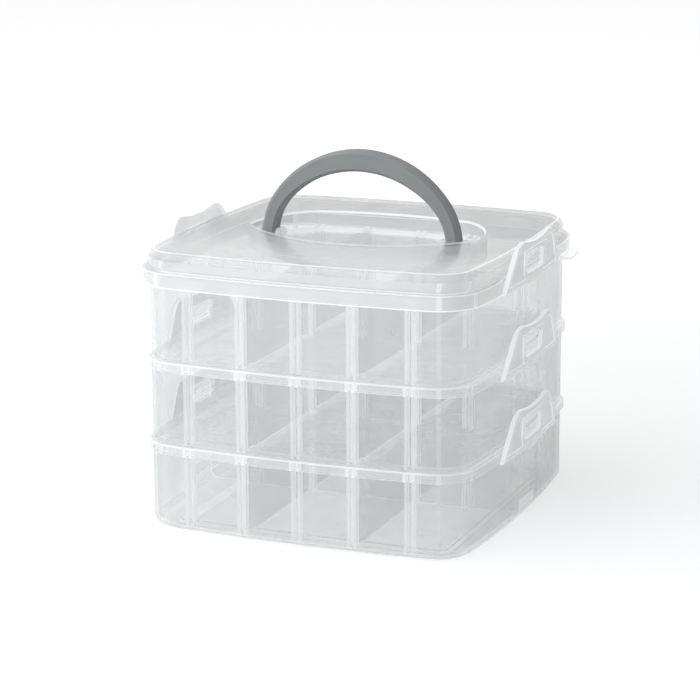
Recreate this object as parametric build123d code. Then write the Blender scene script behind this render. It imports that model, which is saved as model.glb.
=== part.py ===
from build123d import *
import math
import os

# Stackable craft storage box: three clear trays, a domed lid and a folding carry handle.
# Millimetres, +Z up. The origin is the centre of the face that the bottom tray stands on.
# The carry handle turns about an axis along X, and the latches are on the -X and +X sides.

# Plan of every layer: a square with bowed sides and round corners
half_width = 77.5        # rim, from the centre to the middle of a side
side_bow_radius = 660.0  # radius of a side's gentle bow
corner_radius = 18.0     # rim corner

# Tray
tray_height = 38.7       # foot to rim top
nesting = 2.2            # how far a tray sits down in the mouth below
rim_height = 4.1
rim_overhang = 1.6       # rim beyond the wall
rim_edge = 0.6           # chamfer of the rim's top outer edge
wall = 1.4
floor_thickness = 1.5
base_radius = 4.0        # round between wall and underside
cove = 2.2               # sloped edge between wall and floor, inside
foot_inset = 14.0        # foot panel inside the rim
foot_corner = 6.0
foot_depth = 0.8         # how far the foot panel stands down
seat_gap = 0.12          # between a seated tray and the mouth below it

# Fixed wall across the middle, and the slots that hold the dividers
partition_thickness = 1.4
divider_below_rim = 3.1  # from the rim's top down to the dividers and the partition
slot_pitch = 25.1
slots_each_side = 2      # beside the middle slot
slot_depth = 1.6
slot_rib = 1.3
rib_below_divider = 1.6
divider_thickness = 1.4
divider_gap = 0.15       # all round a divider
divider_column = 1       # slot that holds a divider, counted from the middle
divider_dip_width = 30.0
divider_dip_depth = 1.6

# Raised pad and catch on the latch sides of every tray and of the lid
pad_half_width = 16.0
pad_outset = 1.1         # pad beyond the wall
pad_bottom = 5.6         # above the foot
catch_half_width = 10.0
catch_reach = 0.5        # into the window, beyond the closed latch's inner face
catch_bottom = 6.4       # above the foot
catch_height = 3.9
catch_lead = 1.4         # sloped lower face that pushes the latch out

# Latch: a wave-topped plate hinged at the rim's lower edge
latch_gap = 0.25         # between latch and rim
latch_thickness = 1.3
latch_half_base = 36.0
latch_shoulder = 17.5    # from the middle to the top of a shoulder
latch_shoulder_radius = 11.0
latch_height = 18.9
latch_dip = 1.7          # middle of the top edge below the shoulders
latch_lean = 3.0         # degrees that an unlocked latch stands off its closed place
hinge_root_radius = 0.6
hinge_root_gap = 0.1      # between the root and the rim's lower edge
bead_width = 2.0
bead_height = 0.7
window_half_width = 11.0
window_bottom = 3.9      # above the rim's lower edge
window_height = 8.6
window_corner = 1.2      # chamfer
thumb_half_width = 15.0
thumb_top = 14.6
thumb_drop = 1.6         # how far the thumb pad hangs below the rim
thumb_radius = 11.0
thumb_height = 0.5

# Lid
lid_rise = 12.9          # lid top above the seat plane of the lid
lid_wall = 1.5
lid_edge_radius = 3.6
flange_top = 5.7         # above the seat plane
flange_thickness = 1.6
skirt_gap = 0.25         # between skirt and rim
skirt_thickness = 1.2
skirt_edge = 1.0         # chamfer of its top outer edge
latch_notch_gap = 1.4    # beside a latch, in the skirt
lip_depth = 2.6          # locating lip inside the mouth, below the rim top
lip_gap = 0.25
lip_shoulder = 1.0       # how far the lip's root reaches out over the rim
lip_thickness = 1.2
lift_tab_reach = 5.6     # beyond the skirt
lift_tab_start = 40.0
lift_tab_length = 15.0
lift_tab_thickness = 1.6

# Recess in the lid that takes the folded handle
recess_back_gap = 1.7    # between the folded arch and the recess
recess_front = 27.0
recess_side_gap = 4.0    # between the outer cheeks and the recess's corners
recess_shoulder_x = 37.0
recess_shoulder_y = 37.0
recess_depth = 9.4
recess_wall = 1.4
recess_side_bulge = 5.0  # middle of the round side beyond its chord
recess_vertex_radius = 4.0
recess_slope = 1.8       # sloped edge between the recess's wall and floor
recess_rim = 0.8         # chamfer round its mouth

# Carry handle: a three-centred arch on two pivot pins
pivot_below_top = 4.4
arch_half_span = 46.3
arch_rise = 40.3
arch_side_radius = 34.0
arch_leg_width = 6.3
arch_crown_width = 9.3
arch_inner_side_radius = 25.0
arch_thickness = 7.0
arch_edge = 1.3          # chamfer of its long edges
pin_radius = 1.9
pin_fit = 0.08
pin_end_gap = 0.15
pin_reach = 2.5          # beyond the foot, into the cheek
cheek_gap = 0.5
cheek_thickness = 2.2
cheek_half_depth = 4.2
cheek_radius = 3.0
cheek_top_below_lid = 0.9

tiers = ("bottom", "middle", "top")
round_half_turn = math.radians(15)
tray_pitch = tray_height - nesting
divider_top = tray_height - divider_below_rim
slot_rib_top = divider_top - rib_below_divider
wall_offset = -rim_overhang
inner_offset = wall_offset - wall
rim_bottom = tray_height - rim_height
lid_seat = len(tiers) * tray_pitch
lid_top = lid_seat + lid_rise
pivot_z = lid_top - pivot_below_top
arch_inner_half_span = arch_half_span - arch_leg_width
arch_inner_rise = arch_rise - arch_crown_width
recess_back = arch_rise + recess_back_gap
recess_half_width = arch_half_span + cheek_gap + cheek_thickness + recess_side_gap
hinge_drop = hinge_root_radius + hinge_root_gap


def corner_centre():
    """Distance of a corner's centre from both middle planes, where corner and sides are tangent."""
    drop = side_bow_radius - half_width
    reach = side_bow_radius - corner_radius
    return (math.sqrt(2 * reach * reach - drop * drop) - drop) / 2


corner_at = corner_centre()
corner_turn = math.atan2(corner_at, side_bow_radius - half_width + corner_at)


def plan(offset):
    """The bowed square, moved outwards by offset, with its arcs about the same centres."""
    bow = side_bow_radius + offset
    radius = corner_radius + offset
    bow_centre = side_bow_radius - half_width
    side_end = (bow * math.sin(corner_turn), bow_centre - bow * math.cos(corner_turn))
    side_start = (-side_end[0], side_end[1])
    corner_mid = (corner_at + radius * math.sqrt(0.5), -corner_at - radius * math.sqrt(0.5))
    corner_end = (-side_end[1], -side_end[0])
    side = ThreePointArc(side_start, (0, bow_centre - bow), side_end)
    corner = ThreePointArc(side_end, corner_mid, corner_end)
    edges = []
    for quarter in range(4):
        edges += [side.rotate(Axis.Z, 90 * quarter), corner.rotate(Axis.Z, 90 * quarter)]
    return make_face(Wire(edges))


def slab(offset, bottom, top):
    """The plan between two heights."""
    return extrude(Pos(0, 0, bottom) * plan(offset), amount=top - bottom)


def band(outer, inner, bottom, top):
    """A wall between two offsets of the plan."""
    return slab(outer, bottom, top) - slab(inner, bottom, top)


def round_step(radius):
    """How far in, both ways, the corner between a round's two chamfers lies."""
    return radius * (1 - math.sqrt(0.5) / math.cos(round_half_turn))


def round_slab(offset, bottom, top, radius, upwards):
    """The plan between two heights, its upper or lower end rounded by two chamfers tangent to the round."""
    step = round_step(radius)
    rest = 2 * radius * math.tan(round_half_turn) * math.cos(2 * round_half_turn)
    if upwards:
        wide, narrow = slab(offset, bottom, top - step), slab(offset - step, bottom, top)
    else:
        wide, narrow = slab(offset, bottom + step, top), slab(offset - step, bottom, top)
    end = -1 if upwards else 0
    wide_end = wide.faces().sort_by(Axis.Z)[end]
    narrow_end = narrow.faces().sort_by(Axis.Z)[end]
    wide = chamfer(wide_end.edges(), step, rest, reference=wide_end)
    narrow = chamfer(narrow_end.edges(), rest, step, reference=narrow_end)
    return wide + narrow


def slope_bottom(solid, size):
    """Chamfers the edges of the lowest face."""
    return chamfer(solid.faces().sort_by(Axis.Z)[0].edges(), size)


def slope_top(solid, size):
    """Chamfers the edges of the highest face."""
    return chamfer(solid.faces().sort_by(Axis.Z)[-1].edges(), size)


def block(x, y, z):
    """A box between three pairs of limits."""
    size = (x[1] - x[0], y[1] - y[0], z[1] - z[0])
    return Pos((x[0] + x[1]) / 2, (y[0] + y[1]) / 2, (z[0] + z[1]) / 2) * Box(*size)


def foot_panel(inset, bottom, top):
    """Square panel with round corners, as the one that stands down from a tray's floor."""
    side = 2 * (half_width - foot_inset - inset)
    return extrude(Pos(0, 0, bottom) * RectangleRounded(side, side, foot_corner - inset), amount=top - bottom)


def base_form(height):
    """Outside of a tray's wall, with the round base and the foot panel."""
    body = round_slab(wall_offset, foot_depth, height, base_radius, upwards=False)
    return body + foot_panel(0, 0, foot_depth)


def mouth_chamfer():
    """Chamfer inside a rim's top edge that keeps a gap to the round base of the tray above."""
    base_in_mouth = nesting - foot_depth
    return wall + base_in_mouth - 2 * round_step(base_radius) + math.sqrt(2) * seat_gap


def rim():
    """Band round a tray's mouth."""
    outside = slope_top(slab(0, rim_bottom, tray_height), rim_edge)
    return outside - slab(wall_offset - wall / 2, rim_bottom, tray_height)


def slot_positions():
    return [slot_pitch * k for k in range(-slots_each_side, slots_each_side + 1)]


def slot_ribs():
    """Pairs of ribs on the long walls and on both faces of the partition."""
    gap = divider_thickness + 2 * divider_gap
    pair = gap + 2 * slot_rib
    near_walls = slab(wall_offset, 0, slot_rib_top) - slab(inner_offset - slot_depth, 0, slot_rib_top)
    half_deep = partition_thickness / 2 + slot_depth
    near_partition = block((-half_width, half_width), (-half_deep, half_deep), (0, slot_rib_top))
    strips = []
    for x in slot_positions():
        for edge in (-pair / 2, gap / 2):
            limits = (x + edge, x + edge + slot_rib)
            strips.append(block(limits, (-half_width, half_width), (0, slot_rib_top)))
    return (near_walls + near_partition) & Compound(strips)


def side_pad(foot_z, top):
    """Raised pad on the right side of a tray or of the lid."""
    pad = band(wall_offset + pad_outset, wall_offset - wall / 2, foot_z + pad_bottom, top)
    return pad & block((0, 2 * half_width), (-pad_half_width, pad_half_width), (foot_z, top))


def side_catch(foot_z):
    """Wedge on the right pad, caught by the window of the latch below."""
    inner = half_width + wall_offset - wall / 2
    outer = half_width + latch_gap + catch_reach
    low = foot_z + catch_bottom
    profile = Polyline(
        (inner, low - catch_lead), (outer, low + catch_lead), (outer, low + catch_height),
        (inner, low + catch_height), close=True)
    return extrude(Plane.XZ * make_face(profile), amount=catch_half_width, both=True)


def on_both_sides(shape):
    return shape + shape.rotate(Axis.Z, 180)


def tray(with_catches):
    """One tray with its foot at 0: shell, rim, partition, divider slots, pads and catches."""
    outside = base_form(tray_height)
    hollow = slope_bottom(slab(inner_offset, foot_depth + floor_thickness, tray_height), cove)
    panel = foot_panel(floor_thickness, floor_thickness, foot_depth + 2 * floor_thickness)
    body = outside + rim() - hollow - panel
    mouth = body.faces().sort_by(Axis.Z)[-1].inner_wires()[0]
    body = chamfer(mouth.edges(), mouth_chamfer())
    half_partition = partition_thickness / 2
    across = block((-half_width, half_width), (-half_partition, half_partition), (0, divider_top))
    body = body + ((across + slot_ribs()) & outside)
    body = body + on_both_sides(side_pad(0, rim_bottom))
    if with_catches:
        body = body + on_both_sides(side_catch(0))
    return body


def side_at(offset, x):
    """How far out a side of the offset plan lies, at a distance x from its middle."""
    bow = side_bow_radius + offset
    return math.sqrt(bow * bow - x * x) - (side_bow_radius - half_width)


def divider(column, row, foot_z):
    """One removable plate between a wall slot and a partition slot, standing on the tray's floor."""
    x = column * divider_column * slot_pitch
    near = partition_thickness / 2 + divider_gap
    across = abs(x) + divider_thickness / 2
    far = side_at(inner_offset, across) - divider_gap
    panel_edge = half_width - foot_inset - floor_thickness - divider_gap
    low = floor_thickness + divider_gap
    step = low + foot_depth
    slope = cove + divider_gap
    dip_mid = (near + far) / 2
    dip_half = divider_dip_width / 2
    edges = [
        Line((near, low), (panel_edge, low)),
        Line((panel_edge, low), (panel_edge, step)),
        Line((panel_edge, step), (far - slope, step)),
        Line((far - slope, step), (far, step + slope)),
        Line((far, step + slope), (far, divider_top)),
        Line((far, divider_top), (dip_mid + dip_half, divider_top)),
        ThreePointArc(
            (dip_mid + dip_half, divider_top), (dip_mid, divider_top - divider_dip_depth),
            (dip_mid - dip_half, divider_top)),
        Line((dip_mid - dip_half, divider_top), (near, divider_top)),
        Line((near, divider_top), (near, low)),
    ]
    face = Plane.YZ * make_face(Wire(edges))
    plate = extrude(face, amount=divider_thickness / 2, both=True)
    if row < 0:
        plate = plate.rotate(Axis.Z, 180)
    return Pos(x, 0, foot_z) * plate


def latch_outline():
    """Outline in Y and Z from the rim's lower edge up: straight flanks, two shoulders, a dip between."""
    radius = latch_shoulder_radius
    low = latch_height - radius
    both = (latch_shoulder ** 2 + latch_dip ** 2) / (2 * latch_dip)
    inner_end = (
        latch_shoulder * (1 - radius / both),
        low + radius * (both - latch_dip) / both)
    across = latch_half_base - latch_shoulder
    turn = math.atan2(low, -across) - math.asin(radius / math.hypot(across, low))
    outer_end = (latch_shoulder + radius * math.sin(turn), low - radius * math.cos(turn))
    halfway = math.radians(90) - (math.pi - turn) / 2
    crest = (latch_shoulder + radius * math.cos(halfway), low + radius * math.sin(halfway))
    dip = (0, latch_height - latch_dip)
    right = [
        Line((latch_half_base, 0), outer_end),
        ThreePointArc(outer_end, crest, inner_end)]
    left = [edge.mirror(Plane.YZ) for edge in right]
    top = ThreePointArc(inner_end, dip, (-inner_end[0], inner_end[1]))
    base = Line((-latch_half_base, 0), (latch_half_base, 0))
    return make_face(Wire(right + [top] + left + [base]))


def latch(side, foot_z):
    """One latch: a plate with its edge bead, thumb pad and window, on a round root that it turns about."""
    inner = latch_gap
    outer = latch_gap + latch_thickness
    tall = latch_height + thumb_drop
    outline = latch_outline()
    reach = 2 * half_width

    def prism(face):
        return extrude(Plane.YZ * face, amount=reach)

    plate = band(outer, inner, -thumb_drop, tall) & prism(outline)
    rim_bead = outline - offset(outline, -bead_width)
    bead = band(outer + bead_height, inner, -thumb_drop, tall) & prism(rim_bead)
    thumb_mid = (thumb_top - thumb_drop) / 2
    thumb_face = Pos(0, thumb_mid) * Rectangle(2 * thumb_half_width, thumb_top + thumb_drop)
    thumb_face = fillet(thumb_face.vertices().group_by(Axis.Y)[0], thumb_radius)
    thumb = band(outer + thumb_height, inner, -thumb_drop, tall) & prism(thumb_face)
    window_mid = window_bottom + window_height / 2
    window = Pos(0, window_mid) * Rectangle(2 * window_half_width, window_height)
    window = chamfer(window.vertices(), window_corner)
    web = Pos(0, -hinge_drop / 2) * Rectangle(2 * latch_half_base, hinge_drop)
    root = Cylinder(hinge_root_radius, 2 * thumb_half_width, rotation=(90, 0, 0))
    hinge = Pos(half_width + inner, 0, -hinge_drop)
    solid = plate + bead + thumb + (band(outer, inner, -thumb_drop, tall) & prism(web)) - prism(window)
    solid = solid + hinge * root
    solid = solid.rotate(Axis(hinge.position, (0, 1, 0)), latch_lean)
    solid = Pos(0, 0, rim_bottom + foot_z) * solid
    return solid if side > 0 else solid.rotate(Axis.Z, 180)


def recess_outline(growth):
    """Outline of the handle recess: a bowed back, round shoulders and a lens-shaped front."""
    corner = (recess_half_width + growth, 0)
    diagonal = growth * math.sqrt(0.5)
    shoulder = (recess_shoulder_x + diagonal, recess_shoulder_y + diagonal)
    chord = math.hypot(corner[0] - shoulder[0], shoulder[1])
    mid_side = (
        (corner[0] + shoulder[0]) / 2 + recess_side_bulge * shoulder[1] / chord,
        (corner[1] + shoulder[1]) / 2 + recess_side_bulge * (corner[0] - shoulder[0]) / chord)
    mirror = lambda p: (-p[0], p[1])
    edges = [
        ThreePointArc(mirror(corner), (0, -recess_front - growth), corner),
        ThreePointArc(corner, mid_side, shoulder),
        ThreePointArc(shoulder, (0, recess_back + growth), mirror(shoulder)),
        ThreePointArc(mirror(shoulder), mirror(mid_side), mirror(corner)),
    ]
    face = make_face(Wire(edges))
    return fillet(face.vertices(), recess_vertex_radius + growth)


def lid():
    """The domed lid: wall, flange and skirt, locating lip, handle recess, pivot cheeks and catches."""
    rim_top = lid_seat - tray_pitch + tray_height
    shell = round_slab(wall_offset, rim_top, lid_top, lid_edge_radius, upwards=True)
    inside = slope_top(slab(wall_offset - lid_wall, rim_top, lid_top - lid_wall), lid_edge_radius - lid_wall)
    shell = shell - inside
    flange_z = lid_seat + flange_top
    skirt_outer = skirt_gap + skirt_thickness
    skirt_low = lid_seat - tray_pitch + rim_bottom
    cap = slab(skirt_outer, skirt_low, flange_z)
    cap = slope_top(cap, skirt_edge)
    cap = cap - slab(skirt_gap, skirt_low, flange_z - flange_thickness)
    cap = cap - slab(wall_offset - lid_wall / 2, skirt_low, flange_z)
    notch_half = latch_half_base + latch_notch_gap
    reach = 2 * half_width
    notch = block((-reach, reach), (-notch_half, notch_half), (skirt_low, flange_z))
    cap = cap - (notch - slab(0, skirt_low, flange_z))
    lip_outer = inner_offset - lip_gap
    lip_inner = lip_outer - lip_thickness
    lip_low = rim_top - lip_depth
    lip = band(lip_outer, lip_inner, lip_low, rim_top)
    lip = lip + band(wall_offset - lid_wall / 2, lip_inner, rim_top, flange_z - flange_thickness)
    lip = lip & slab(lip_outer + lip_shoulder, lip_low, flange_z)
    body = shell + cap + lip
    body = add_recess(body)
    pad_top = lid_top - lid_edge_radius
    body = body + on_both_sides(side_pad(lid_seat, pad_top) + side_catch(lid_seat))
    return body + lift_tab(skirt_low, skirt_outer)


def add_recess(body):
    """Sinks the handle recess into the lid and stands the pivot cheeks in it."""
    floor_z = lid_top - recess_depth
    tub = extrude(Pos(0, 0, floor_z - recess_wall) * recess_outline(recess_wall), amount=recess_depth)
    pocket = extrude(Pos(0, 0, floor_z) * recess_outline(0), amount=recess_depth)
    pocket = slope_bottom(pocket, recess_slope)
    body = body + tub - pocket
    mouth = body.faces().sort_by(Axis.Z)[-1].inner_wires()[0]
    body = chamfer(mouth.edges(), recess_rim)
    for side in (-1, 1):
        outer_face = arch_half_span + cheek_gap
        inner_face = arch_inner_half_span - cheek_gap
        for low, high in ((outer_face, outer_face + cheek_thickness), (inner_face - cheek_thickness, inner_face)):
            limits = sorted((side * low, side * high))
            top = lid_top - cheek_top_below_lid
            cheek = block(limits, (-cheek_half_depth, cheek_half_depth), (floor_z - recess_wall / 2, top))
            crest = cheek.edges().filter_by(Axis.X).sort_by(Axis.Z)[-2:]
            body = body + fillet(crest, cheek_radius)
    bore = Cylinder(pin_radius + pin_fit, pin_reach + pin_end_gap, rotation=(0, 90, 0))
    bore_mid = arch_half_span + (pin_reach + pin_end_gap) / 2
    for side in (-1, 1):
        body = body - Pos(side * bore_mid, 0, pivot_z) * bore
    return body


def lift_tab(low, skirt_outer):
    """Small finger tab on the skirt, behind the right latch."""
    strip = band(skirt_outer + lift_tab_reach, skirt_gap, low, low + lift_tab_thickness)
    return strip & block(
        (0, 2 * half_width), (lift_tab_start, lift_tab_start + lift_tab_length), (low, low + lift_tab_thickness))


def arch_line(half_span, rise, side_radius):
    """Three tangent arcs that stand upright at both ends: two sides and a flatter crown."""
    across = half_span - side_radius
    crown_radius = (across ** 2 + rise ** 2 - side_radius ** 2) / (2 * (rise - side_radius))
    turn = math.atan2(across, crown_radius - rise)
    join = (crown_radius * math.sin(turn), rise - crown_radius * (1 - math.cos(turn)))
    halfway = (math.pi / 2 - turn) / 2
    bulge = (across + side_radius * math.cos(halfway), side_radius * math.sin(halfway))
    side = ThreePointArc((half_span, 0), bulge, join)
    crown = ThreePointArc(join, (0, rise), (-join[0], join[1]))
    return [side, crown, side.mirror(Plane.YZ)]


def carry_handle():
    """An arch, wider at the crown, with round feet and a pivot pin through each foot."""
    outer = arch_line(arch_half_span, arch_rise, arch_side_radius)
    inner = arch_line(arch_inner_half_span, arch_inner_rise, arch_inner_side_radius)
    ends = [Line((s * arch_half_span, 0), (s * arch_inner_half_span, 0)) for s in (-1, 1)]
    arch = make_face(Wire(outer + inner + ends))
    foot_mid = (arch_half_span + arch_inner_half_span) / 2
    foot_width = arch_half_span - arch_inner_half_span
    ring = extrude(Plane.XZ * arch, amount=arch_thickness / 2, both=True)
    faces = ring.faces().sort_by(Axis.Y)
    long_edges = (faces[0].edges() + faces[-1].edges()).filter_by(GeomType.CIRCLE)
    ring = chamfer(long_edges, arch_edge)
    foot = Cylinder(arch_thickness / 2, foot_width, rotation=(0, 90, 0))
    pin = Cylinder(pin_radius, foot_width / 2 + pin_reach, rotation=(0, 90, 0))
    pin_mid = arch_half_span + pin_reach / 2 - foot_width / 4
    body = ring
    for side in (-1, 1):
        body = body + Pos(side * foot_mid, 0, 0) * foot + Pos(side * pin_mid, 0, 0) * pin
    return Pos(0, 0, pivot_z) * body


def build():
    """Every piece in its place, by the name of its node."""
    parts = {}
    lowest = tray(with_catches=False)
    upper = tray(with_catches=True)
    for level, tier in enumerate(tiers):
        foot_z = level * tray_pitch
        parts[tier + "_tray"] = Pos(0, 0, foot_z) * (upper if level else lowest)
        for side, side_name in ((-1, "left"), (1, "right")):
            parts[f"{tier}_latch_{side_name}"] = latch(side, foot_z)
            for row, row_name in ((-1, "front"), (1, "back")):
                parts[f"{tier}_divider_{row_name}_{side_name}"] = divider(side, row, foot_z)
    parts["lid"] = lid()
    parts["carry_handle"] = carry_handle()
    return parts


os.makedirs("parts", exist_ok=True)
for name, shape in build().items():
    export_step(shape, f"parts/{name}.step")
    print(name, len(shape.solids()), round(shape.volume), shape.is_valid)
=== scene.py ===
# %% [markdown]
# # A clear stackable craft box
# The real box is injection moulded from clear polypropylene: three trays, a raised lid and a grey
# handle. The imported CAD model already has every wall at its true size, so this scene keeps those
# meshes and works on what CAD can't say: how the plastic, the light and the room look.

# %% Load the frame
import math
import bpy
import numpy as np
from mathutils import Matrix, Vector

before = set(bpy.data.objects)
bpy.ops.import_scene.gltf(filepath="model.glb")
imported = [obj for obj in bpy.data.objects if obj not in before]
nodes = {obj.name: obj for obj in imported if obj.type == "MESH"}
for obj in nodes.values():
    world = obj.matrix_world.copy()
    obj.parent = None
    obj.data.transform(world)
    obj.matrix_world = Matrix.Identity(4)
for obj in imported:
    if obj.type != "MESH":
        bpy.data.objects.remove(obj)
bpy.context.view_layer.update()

# %% [markdown]
# ## The photographer's place
# The camera was worked out from the straight and bowed edges of the box: it stands a little over a
# metre away, 22 degrees round to the right and 14 degrees up. A long lens keeps the sides nearly
# parallel. Building the camera from its three directions avoids any guess about angles.

# %% Camera
CAMERA_AZIMUTH = 22.03
CAMERA_ELEVATION = 13.97
CAMERA_ROLL = -0.22
CAMERA_DISTANCE = 1.1345
CAMERA_FOCAL_PIXELS = 2565.9
TARGET_SIDEWAYS = -0.00528
TARGET_HEIGHT = 0.06883
IMAGE_PIXELS = 700
SENSOR = 36.0                   # millimetres
NEAREST = 0.05                  # metres, where the view starts


def camera_directions(azimuth, elevation, roll):
    """Level right, right, up and forward directions of a view, from its angles in degrees."""
    a, e, r = (math.radians(v) for v in (azimuth, elevation, roll))
    forward = Vector((-math.sin(a) * math.cos(e), math.cos(a) * math.cos(e), -math.sin(e)))
    right = Vector((math.cos(a), math.sin(a), 0))
    up = right.cross(forward)
    turned_right = right * math.cos(r) + up * math.sin(r)
    turned_up = up * math.cos(r) - right * math.sin(r)
    return right, turned_right, turned_up, forward


level_right, right, up, forward = camera_directions(CAMERA_AZIMUTH, CAMERA_ELEVATION, CAMERA_ROLL)
target = level_right * TARGET_SIDEWAYS + Vector((0, 0, TARGET_HEIGHT))
place = target - forward * CAMERA_DISTANCE
camera_data = bpy.data.cameras.new("studio_camera")
camera_data.sensor_width = SENSOR
camera_data.lens = CAMERA_FOCAL_PIXELS / IMAGE_PIXELS * SENSOR
camera_data.clip_start = NEAREST
camera = bpy.data.objects.new("studio_camera", camera_data)
bpy.context.scene.collection.objects.link(camera)
axes = Matrix((right, up, -forward)).transposed().to_4x4()
camera.matrix_world = Matrix.Translation(place) @ axes
bpy.context.scene.camera = camera
print("camera at", [round(v, 3) for v in place], "lens", round(camera_data.lens, 1), "mm")

# %% [markdown]
# ## Shader maths as sentences
# A material is a graph, and a graph is easier to read as an expression. `Value` wraps one socket,
# and each operator adds the Math node that does it. `Graph.node` makes any other node.


# %% One socket as a number
class Value:
    """One output of the graph, a number or a colour, that can be added, multiplied and compared."""

    def __init__(self, graph, socket):
        self.graph, self.socket = graph, socket

    def _with(self, operation, *others):
        return self.graph.node("ShaderNodeMath", {"operation": operation}, *others)[0]

    def __add__(self, other):
        return self._with("ADD", self, other)

    def __rsub__(self, other):
        return self._with("SUBTRACT", other, self)

    def __sub__(self, other):
        return self._with("SUBTRACT", self, other)

    def __mul__(self, other):
        return self._with("MULTIPLY", self, other)

    def __rtruediv__(self, other):
        return self._with("DIVIDE", other, self)

    def __pow__(self, other):
        return self._with("POWER", self, other)

    def __abs__(self):
        return self._with("ABSOLUTE", self)

    __radd__ = __add__
    __rmul__ = __mul__

    def at_most(self, other):
        return self._with("MINIMUM", self, other)

    def at_least(self, other):
        return self._with("MAXIMUM", self, other)

    def rise(self, low, high):
        """0 below low, 1 above high, and an S-shaped curve between."""
        return self.graph.node(
            "ShaderNodeMapRange", {"interpolation_type": "SMOOTHSTEP"},
            **{"Value": self, "From Min": low, "From Max": high})[0]

    def fade(self, low, high):
        """1 below low, 0 above high."""
        return 1 - self.rise(low, high)

    def between(self, low, high):
        """The number low where this one is 0, and high where it is 1."""
        return self * (high - low) + low

    def blend(self, other, share):
        """This number where share is 0 and the other where share is 1."""
        return self * (1 - share) + share * other

    def from_nearest(self, step):
        """How far this number is from the nearest whole multiple of step."""
        return self._with("PINGPONG", self, step / 2)


# %% Node tree
MIX_SHARE, MIX_FIRST, MIX_SECOND, MIX_RESULT = 0, 6, 7, 2   # a Mix node's sockets for colours


class Graph:
    """A node tree, cleared and ready to be written."""

    def __init__(self, tree):
        self.tree = tree
        tree.nodes.clear()

    def node(self, kind, settings=None, *values, **named):
        """Adds a node: settings first, then its inputs by order or by name. Returns its outputs."""
        made = self.tree.nodes.new(kind)
        for key, value in (settings or {}).items():
            setattr(made, key, value)
        inputs = [(made.inputs[i], v) for i, v in enumerate(values)]
        inputs += [(made.inputs[k], v) for k, v in named.items()]
        for socket, value in inputs:
            if isinstance(value, Value):
                self.tree.links.new(value.socket, socket)
            elif value is not None:
                socket.default_value = value
        return [Value(self, s) for s in made.outputs if s.enabled]

    def split(self, vector):
        """The three numbers of a vector."""
        return self.node("ShaderNodeSeparateXYZ", None, vector)

    def colour_blend(self, first, second, share):
        """Mixes two fixed colours by a varying share."""
        made = self.tree.nodes.new("ShaderNodeMix")
        made.data_type = "RGBA"
        self.tree.links.new(share.socket, made.inputs[MIX_SHARE])
        made.inputs[MIX_FIRST].default_value = (*first, 1)
        made.inputs[MIX_SECOND].default_value = (*second, 1)
        return Value(self, made.outputs[MIX_RESULT])

    def coordinates(self, kind):
        """Where a point is on its object, or with "Normal", which way the surface faces there."""
        return Value(self, self.tree.nodes.new("ShaderNodeTexCoord").outputs[kind])

    def place(self):
        """The three numbers of a point on the object, in metres, and of its surface's direction."""
        return self.split(self.coordinates("Object")), self.split(self.coordinates("Normal"))

    def patches(self, size):
        """Soft random patches between 0 and 1, as wide on the object as size says, in metres."""
        return self.node("ShaderNodeTexNoise", None, **{
            "Vector": self.coordinates("Object"), "Scale": 1 / size, "Detail": 1.0})[0]

    def bumps(self, height, depth):
        """A surface direction that leans as if height, from 0 to 1, raised it by up to depth."""
        return self.node("ShaderNodeBump", None, **{
            "Height": height, "Strength": 1.0, "Distance": depth})[0]

    def turned(self):
        """0 where the surface faces the eye, and 1 where it is seen from the side."""
        return self.node("ShaderNodeLayerWeight", None, **{"Blend": 0.5})[1]

    def seen(self):
        """1 for rays from the camera, in a mirror or through glass, and 0 for rays that light."""
        path = self.tree.nodes.new("ShaderNodeLightPath").outputs
        camera, glossy, through = (
            Value(self, path[k]) for k in ("Is Camera Ray", "Is Glossy Ray", "Is Transmission Ray"))
        return camera.at_least(glossy).at_least(through)


def new_material(name):
    """An empty material and the graph that will hold its nodes."""
    material = bpy.data.materials.new(name)
    material.use_nodes = True
    return material, Graph(material.node_tree)


# %% [markdown]
# ## Room
# The photograph was taken on an endless white table. An even sky lights the plastic from all
# round, at a third of the white that the camera sees. Two soft lamps add direction: a large cool
# one from the left front, which is the side that the handle's bright face turns to, and a weaker
# warm one high on the left, which leaves the handle's right side in shade.

# %% Sky
WHITE = (1, 1, 1, 1)
SKY_STRENGTH = 0.33
world = bpy.data.worlds.new("studio_sky")
world.use_nodes = True
bpy.context.scene.world = world
sky = Graph(world.node_tree)
glow = sky.node("ShaderNodeBackground", None, WHITE, sky.seen().between(SKY_STRENGTH, 1))[0]
sky.node("ShaderNodeOutputWorld", None, glow)
print("sky lights at", SKY_STRENGTH, "and is seen at 1")

# %% Lamps
COOL = (0.92, 0.96, 1.0)
WARM = (1.0, 0.98, 0.95)
AIM = Vector((0, 0, 0.06))      # about the middle of the box


def soft_lamp(name, azimuth, elevation, distance, size, power, colour):
    """A square lamp of a given size, aimed at the middle of the box from a direction in degrees."""
    a, e = math.radians(azimuth), math.radians(elevation)
    direction = Vector((math.sin(a) * math.cos(e), -math.cos(a) * math.cos(e), math.sin(e)))
    data = bpy.data.lights.new(name, "AREA")
    data.size = size
    data.energy = power
    data.color = colour
    lamp = bpy.data.objects.new(name, data)
    bpy.context.scene.collection.objects.link(lamp)
    lamp.location = AIM + direction * distance
    lamp.rotation_euler = (-direction).to_track_quat("-Z", "Y").to_euler()
    print(name, "at", [round(v, 2) for v in lamp.location])


soft_lamp("left_front_lamp", azimuth=-32, elevation=35, distance=1.2,
          size=1.5, power=13.4, colour=COOL)
soft_lamp("upper_left_lamp", azimuth=-80, elevation=60, distance=1.3,
          size=0.9, power=3.0, colour=WARM)

# %% [markdown]
# ## Floor
# The floor is plain and pale. Seen by the camera, or in a reflection, it also glows a little, just
# enough to meet the white sky: less beside the box, where the lamps are near, and more far away. A
# glow adds to the light that falls on it, so the box's soft shadow stays.

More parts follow.
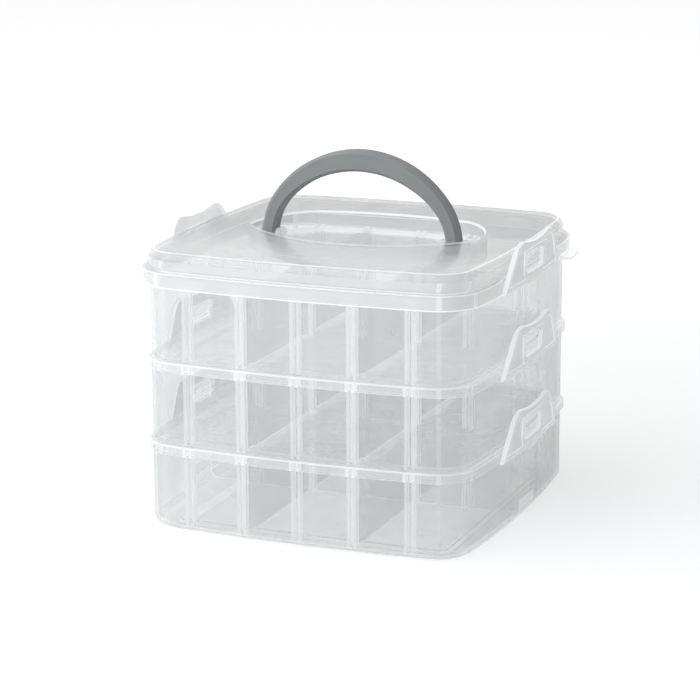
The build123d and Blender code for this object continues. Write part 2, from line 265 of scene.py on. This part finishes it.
# %% Floor
FLOOR_HALF = 3.0
FLOOR_WHITE = (0.86, 0.86, 0.86)
NEAR_LIFT, FAR_LIFT = 0.33, 0.65
FAR_AWAY = 0.9                  # metres from the box at which the glow is full
floor_material, g = new_material("pale_floor")
pale = g.node("ShaderNodeBsdfDiffuse", None, (*FLOOR_WHITE, 1))[0]
sideways, back, _ = g.place()[0]
far = ((sideways ** 2 + back ** 2) ** 0.5).rise(0, FAR_AWAY)
strength = g.seen() * far.between(NEAR_LIFT, FAR_LIFT)
lift = g.node("ShaderNodeEmission", None, WHITE, strength)[0]
g.node("ShaderNodeOutputMaterial", None, g.node("ShaderNodeAddShader", None, pale, lift)[0])

corners = np.array([(-1, -1, 0), (1, -1, 0), (1, 1, 0), (-1, 1, 0)], float) * FLOOR_HALF
floor_mesh = bpy.data.meshes.new("pale_floor")
floor_mesh.from_pydata(corners.tolist(), [], [(0, 1, 2, 3)])
floor_mesh.materials.append(floor_material)
floor = bpy.data.objects.new("pale_floor", floor_mesh)
bpy.context.scene.collection.objects.link(floor)
print("floor", 2 * FLOOR_HALF, "m across")

# %% [markdown]
# ## Clear plastic
# Real clear plastic bends light through dozens of walls, which would take a long render. Here each
# face lets most light straight through and adds what the eye notices: a milky haze that thickens
# where the view runs along the wall, a mirror of the white room at grazing view, faint flow marks
# from the mould, and bright edges. Real plastic carries light inside a wall out to its edges; here
# that brightness is a painted glow, an emission on an edge mask. Each moulding says below where
# its edges are.
#
# A ray from the camera meets all of the haze, but a ray that carries the lamps' light meets only a
# tenth of it, or half on level faces. With full shadows the dozens of walls would turn the inside
# of the box dark.

# %% Light paths
MOST_WALLS = 96                 # faces that one ray may pass
scene = bpy.context.scene
scene.cycles.transparent_max_bounces = MOST_WALLS
scene.view_settings.view_transform = "Standard"
print("a ray passes up to", MOST_WALLS, "faces")

# %% Clear plastic
HAZE = 0.055                    # share that one face hides, seen straight on
MOST_COVER = 0.9                # the most that a slanted face hides
SLANT_POWER = 1.45              # how fast the haze thickens as the view leans
LEAST_SLANT = 0.12              # the haze stops growing below this cosine of the view
HAZE_TINT = (1.0, 1.005, 1.015)
HAZE_ROUGHNESS = (0.2, 0.3)
REFRACTION = 1.49
CLEAR_TINT = (0.985, 0.985, 0.985)
EDGE_COVER = 0.7                # share that an edge hides
EDGE_MILK = (0.60, 0.605, 0.61)
# Painted glow: strength of the emission on the edge mask, in place of light carried inside a wall.
PAINTED_EDGE_GLOW = 0.45                # light that comes out of an edge
LIGHT_STOPPED = (0.10, 0.5)     # part of the cover that stops light, on upright and level faces
LEVEL_FACE = (0.8, 0.95)        # upward part of a direction that counts as level there
FLOW_SIZE = 0.011               # width of the flow marks, in metres
FLOW_DEPTH = 0.00012
FLOW_HAZE = (0.7, 1.3)          # how much the haze varies with them
GLANCE = 0.04                   # mirror share seen straight on
GLANCE_POWER = 5                # how fast it grows to 1 at grazing view
MIRROR = 0.20                   # how much of that mirror is left by the many walls
MIRROR_ROUGHNESS = 0.08


def clear_plastic(name, edge_of, grey, thickness=1.0):
    """Milky see-through plastic. edge_of gives the share of edge from a point and its facing: more
    haze and a painted glow there.
    """
    material, g = new_material(name)
    point, facing = g.place()
    edge = edge_of(point, facing).at_most(1).at_least(0)
    flow = g.patches(FLOW_SIZE)
    ripples = g.bumps(flow, FLOW_DEPTH)
    slant = (1 - g.turned()).at_least(LEAST_SLANT) ** SLANT_POWER
    haze = HAZE * thickness / slant * flow.between(*FLOW_HAZE)
    stopped = abs(facing[2]).rise(*LEVEL_FACE).between(*LIGHT_STOPPED).blend(1, g.seen())
    cover = haze.blend(EDGE_COVER, edge).at_most(MOST_COVER) * stopped
    clear = g.node("ShaderNodeBsdfTransparent", None, (*CLEAR_TINT, 1))[0]
    milk = g.node("ShaderNodeBsdfPrincipled", None, **{
        "Base Color": g.colour_blend([grey * t for t in HAZE_TINT], EDGE_MILK, edge),
        "Roughness": flow.between(*HAZE_ROUGHNESS), "IOR": REFRACTION, "Normal": ripples,
        # Painted glow: the edge mask drives an emission.
        "Emission Color": g.colour_blend((0, 0, 0), (1, 1, 1), edge),
        "Emission Strength": PAINTED_EDGE_GLOW})[0]
    film = g.node("ShaderNodeMixShader", None, cover, clear, milk)[0]
    glance = (g.turned() ** GLANCE_POWER).between(GLANCE, 1) * MIRROR * g.seen()
    mirror = g.node("ShaderNodeBsdfGlossy", None, **{
        "Color": WHITE, "Roughness": MIRROR_ROUGHNESS, "Normal": ripples})[0]
    whole = g.node("ShaderNodeMixShader", None, glance, film, mirror)[0]
    g.node("ShaderNodeOutputMaterial", None, whole)
    return material


# %% [markdown]
# ## Finding the edges
# An edge could be painted on by hand, but the surface already tells where it is. A moulded wall has
# two broad faces and narrow ones between them, so a face that looks another way than the broad ones
# is an edge. Where a wall only steps or turns, the edge is a narrow band of heights or of
# directions. Heights and distances are in millimetres, and every pair is a soft step or a band.

# %% Steps and bands
MM = 0.001
SOFT = 0.1                      # width of a band's soft ends
UPRIGHT = (0.12, 0.25)          # upward part of a direction, from upright to sloped
LEVEL = (0.9, 0.97)             # the same, from sloped to level
FLAT = (0.985, 0.995)           # the same, for the lid's flat top
# Painted highlights: upright bright lines on round corners, picked by the sideways part of the
# direction.
CORNER_START = (0.26, 0.30)     # sideways part of a direction where a round corner starts
CORNER_END = (0.38, 0.42)
CORNER_PAINTED_HIGHLIGHT = 0.25


def beyond(distance, step):
    """0 before a step and 1 beyond it."""
    return distance.rise(step[0] * MM, step[1] * MM)


def short_of(distance, step):
    """1 before a step and 0 beyond it."""
    return distance.fade(step[0] * MM, step[1] * MM)


def band(distance, low, high):
    """1 between two distances, with soft ends."""
    return beyond(distance, (low - SOFT, low)) * short_of(distance, (high, high + SOFT))


def upright(facing):
    """1 on faces that stand upright."""
    return abs(facing[2]).fade(*UPRIGHT)


def sloped(facing, level=LEVEL):
    """1 on faces that are neither upright nor level: chamfers, coves and the round foot."""
    return abs(facing[2]).rise(*UPRIGHT) * abs(facing[2]).fade(*level)


def painted_corner_highlights(facing):
    """Painted highlights: upright bright lines where a round corner starts to turn, where light
    would bunch.
    """
    starts = [abs(part).rise(*CORNER_START) * abs(part).fade(*CORNER_END) for part in facing[:2]]
    return (starts[0] + starts[1]) * upright(facing) * CORNER_PAINTED_HIGHLIGHT


# %% [markdown]
# ## Trays
# A tray is a thin bowed wall with a thick rim. Pairs of ribs on its walls hold the dividers, and on
# the latch sides a raised pad carries a catch. All of these are thicker than the wall and show more
# haze, and the material paints a glow on them too. The material finds them by their height above
# the tray's foot. A lifted tray keeps its mesh where it was at rest, so each of the three has a
# material that knows its own foot.

# %% Edges of a tray
TRAY_PITCH = 36.5               # from one tray's foot to the next
ABOVE_FLOOR = (4, 5)
TOP_GLOW = 0.28                 # level tops of walls and ribs
SLOPE_GLOW, CHAMFER_GLOW = 0.35, 0.7    # slopes at the floor, and above it
SLOT_PITCH = 25.1
SLOT_REACH = (53.5, 53.6)       # beyond the outermost slot
RIB_SPAN = (0.85, 2.15)         # both ribs of a slot, from its middle
RIB_GLOW = 0.45
RIM_FOOT = (34.4, 34.6)         # where the rim starts
RIM_LINE = (34.5, 34.9)         # line along the rim's lower edge
RIM_GLOW, LINE_GLOW = 0.35, 0.6
CATCH = (6.2, 10.5)             # heights of the catch on a side pad
CATCH_OUT = (76.2, 76.4)        # the catch lies further out than the pad
CATCH_END = (10.3, 10.5)
CATCH_GLOW = 0.6


def tray_edges(foot_z):
    """Edges of the tray that stands at a height: its slopes, tops, rim, catches and slot ribs."""
    def edge_of(point, facing):
        height, sideways, back = point[2] - foot_z, abs(point[0]), abs(point[1])
        above = beyond(height, ABOVE_FLOOR)
        slopes = sloped(facing) * above.between(SLOPE_GLOW, CHAMFER_GLOW)
        tops = facing[2].rise(*LEVEL) * above * TOP_GLOW
        slots = short_of(sideways, SLOT_REACH)
        rib_sides = abs(facing[0]).rise(*LEVEL) * slots
        ribs = band(sideways.from_nearest(SLOT_PITCH * MM), *RIB_SPAN) * slots
        rib_fronts = ribs * abs(facing[1]).rise(*LEVEL) * RIB_GLOW
        rim = beyond(height, RIM_FOOT) * RIM_GLOW
        rim = (rim + band(height, *RIM_LINE) * (LINE_GLOW - RIM_GLOW)) * upright(facing)
        catch = band(height, *CATCH) * beyond(sideways, CATCH_OUT) * short_of(back, CATCH_END)
        return (slopes + tops + rib_sides + rib_fronts + rim + painted_corner_highlights(facing)
                + catch * CATCH_GLOW)
    return edge_of


# %% [markdown]
# ## Dividers and latches
# Both are flat plates that face left and right, so whatever looks another way is their edge. The
# latches stand outside, in more light, and in the photograph their plates look brighter than the
# walls behind them, so the plate itself counts as a little edge.
# That brighter plate is painted light: the plate takes a little of the painted edge glow.

# %% Edges of the dividers and latches
BROAD = (0.85, 0.95)            # sideways part of a plate's direction, from edge to broad face
DIVIDER_GLOW = 0.75
LATCH_GLOW = 0.85
PLATE_PAINTED_LIGHT = 0.15


def divider_edges(point, facing):
    """Edges of a divider: all but its two broad faces."""
    return abs(facing[0]).fade(*BROAD) * DIVIDER_GLOW


def latch_edges(point, facing):
    """Edges of a latch, on a plate that gets a little painted light itself."""
    plate = abs(facing[0]).rise(*BROAD)
    return plate.between(LATCH_GLOW, PLATE_PAINTED_LIGHT)


# %% [markdown]
# ## Lid
# The lid is raised, with a skirt over the top tray's rim and a sunk recess for the folded handle.
# In the photograph bright lines follow its crest, its flange and the skirt's lower edge, the hinge
# cheeks show white, and the flat top is greyer at the back than at the front.
# The material paints all of these: the bright lines and white cheeks as glow, the lighter front of
# the flat top as a painted highlight, and the lid's walls and recess as painted light.

# %% Edges of the lid
CREST = (121.95, 122.25)        # line round the flat top
CREST_FACE = (0.3, 0.4)         # it is on sloped faces only
LID_SLOPE_GLOW = 0.4
UNDERSIDE = (111, 112)          # level faces below this are skirt, flange and lip
RECESS_X, RECESS_Y = (62, 63), (55, 56)
RECESS_RIM = (121.5, 122.6)
TUB_TOP = (121.3, 121.5)        # top of the recess's own wall
TUB_GLOW = 0.16
# Painted light: the lid's upright walls below this height, away from the recess, are brightened.
LID_WALL_TOP = (118.5, 119)
LID_WALL_PAINTED_LIGHT = 0.56
SKIRT_LINE = (107.6, 108.0)
FLANGE_LINE = (113.7, 114.1)
CHEEKS = (37.2, 49.1)           # hinge cheeks, sideways
CHEEK_END = (4.4, 4.6)
CHEEK_GLOW = 0.5
# Painted highlight: the front part of the flat top is brightened.
FRONT_PART = (-70, 0)           # the flat top is brightest at the front
FRONT_PAINTED_HIGHLIGHT = 0.42


def lid_edges(point, facing):
    """Painted glow on the lid's crest, skirt, flange, walls, recess rim, tub and hinge cheeks, and
    a painted highlight on the flat top's front.
    """
    up, height = abs(facing[2]), point[2]
    sideways, back = abs(point[0]), abs(point[1])
    crest = band(height, *CREST) * up.rise(*CREST_FACE) * (1 - LID_SLOPE_GLOW)
    slopes = sloped(facing, FLAT) * LID_SLOPE_GLOW
    underside = up.rise(*LEVEL) * short_of(height, UNDERSIDE)
    recess = short_of(sideways, RECESS_X) * short_of(back, RECESS_Y)
    recess_rim = up.fade(*LEVEL) * band(height, *RECESS_RIM) * recess
    tub = recess * short_of(height, TUB_TOP) * TUB_GLOW
    wall = short_of(height, LID_WALL_TOP) * (1 - recess) * LID_WALL_PAINTED_LIGHT
    lines = (band(height, *SKIRT_LINE) + band(height, *FLANGE_LINE)) * LINE_GLOW
    cheeks = band(sideways, *CHEEKS) * short_of(back, CHEEK_END) * CHEEK_GLOW
    front = up.rise(*FLAT) * short_of(point[1], FRONT_PART) * FRONT_PAINTED_HIGHLIGHT
    return (crest + slopes + underside + recess_rim + tub + front + painted_corner_highlights(facing)
            + (wall + lines + cheeks) * upright(facing))


# %% [markdown]
# ## One plastic for every clear piece
# All clear pieces are the same plastic, so one function makes every material. The edges differ, and
# so do the grey of the haze and how thick it is: a latch is thick and bright, and the lid is the
# clearest, because the trays under it show through.
# The trays' greys are painted shade, darker for the lower trays, and the latch's bright grey is
# partly painted light.

# %% Clear pieces
# Painted shade: each tray's haze grey is darker lower down, in place of the light that reaches it.
TRAY_GREYS_PAINTED_SHADE = {"bottom": 0.74, "middle": 0.82, "top": 0.94}  # more light reaches the upper trays
tray_plastics = {
    level: clear_plastic("clear_" + level + "_tray", tray_edges(i * TRAY_PITCH * MM), grey)
    for i, (level, grey) in enumerate(TRAY_GREYS_PAINTED_SHADE.items())}
divider_plastic = clear_plastic("clear_divider", divider_edges, grey=0.85)
latch_plastic = clear_plastic("clear_latch", latch_edges, grey=0.95, thickness=1.8)
lid_plastic = clear_plastic("clear_lid", lid_edges, grey=0.42, thickness=0.75)
print("clear plastics", len(tray_plastics) + 3)

# %% [markdown]
# ## Grained grey handle
# The handle is solid plastic with a satin finish. Its mould was grained, so the surface is rough in
# grains under a millimetre wide, and the grey drifts a little from place to place. One noise makes
# the grain's bumps and gloss, and a wider one drifts the colour.

# %% Handle
GRAIN_SIZE = 0.0007
GRAIN_DEPTH = 0.00001
DRIFT_SIZE = 0.012
DRIFT_SHARE, GRAIN_SHARE = 0.7, 0.3
DARK_GREY, LIGHT_GREY = (0.234, 0.240, 0.239), (0.274, 0.280, 0.279)
SATIN = (0.43, 0.57)            # roughness, from the smoothest grain to the roughest
SHINE = 0.35
handle_material, g = new_material("satin_grey")
grain = g.patches(GRAIN_SIZE)
drift = g.patches(DRIFT_SIZE) * DRIFT_SHARE + grain * GRAIN_SHARE
handle_body = g.node("ShaderNodeBsdfPrincipled", None, **{
    "Base Color": g.colour_blend(DARK_GREY, LIGHT_GREY, drift),
    "Roughness": grain.between(*SATIN), "Specular IOR Level": SHINE,
    "Normal": g.bumps(grain, GRAIN_DEPTH)})[0]
g.node("ShaderNodeOutputMaterial", None, handle_body)
print("handle grain", GRAIN_SIZE / MM, "mm")

# %% [markdown]
# ## Smooth rounds
# The CAD meshes come in as loose flat triangles, so a round corner would show its facets. A small
# geometry-nodes tree joins the triangles for shading only, and calls a bend sharp only past a set
# angle. Weighted Normal then keeps the flat walls flat and leaves all the turning to the rounds.

# %% Smooth shading
SHARP_ANGLE = math.radians(32)
SAME_POINT = 1e-6               # metres between corners that are one


def smoothing_tree():
    """Merges the triangles by distance, shades them smooth, and marks the sharp bends."""
    tree = bpy.data.node_groups.new("smooth_rounds", "GeometryNodeTree")
    tree.interface.new_socket("Geometry", in_out="INPUT", socket_type="NodeSocketGeometry")
    tree.interface.new_socket("Geometry", in_out="OUTPUT", socket_type="NodeSocketGeometry")
    g = Graph(tree)
    given = g.node("NodeGroupInput")[0]
    joined = g.node("GeometryNodeMergeByDistance", None, **{
        "Geometry": given, "Distance": SAME_POINT})[0]
    smooth = g.node("GeometryNodeSetShadeSmooth", {"domain": "FACE"}, **{
        "Geometry": joined, "Shade Smooth": True})[0]
    bend = g.node("GeometryNodeInputMeshEdgeAngle")[0]
    sharp = g.node("FunctionNodeCompare", {"operation": "GREATER_THAN"}, bend, SHARP_ANGLE)[0]
    done = g.node("GeometryNodeSetShadeSmooth", {"domain": "EDGE"}, **{
        "Geometry": smooth, "Selection": sharp, "Shade Smooth": False})[0]
    g.node("NodeGroupOutput", None, done)
    return tree


# %% Dress the nodes
def plastic_of(name):
    """Which material a node takes, by its name."""
    if name == "carry_handle":
        return handle_material
    if name == "lid":
        return lid_plastic
    if name.endswith("_tray"):
        return tray_plastics[name.removesuffix("_tray")]
    return latch_plastic if "_latch_" in name else divider_plastic


smooth_rounds = smoothing_tree()
for name, node in nodes.items():
    node.data.materials.clear()
    node.data.materials.append(plastic_of(name))
    node.modifiers.new("smooth_rounds", "NODES").node_group = smooth_rounds
    weighted = node.modifiers.new("flat_walls", "WEIGHTED_NORMAL")
    weighted.mode = "FACE_AREA"
    weighted.keep_sharp = True
print("materials on", len(nodes), "nodes")
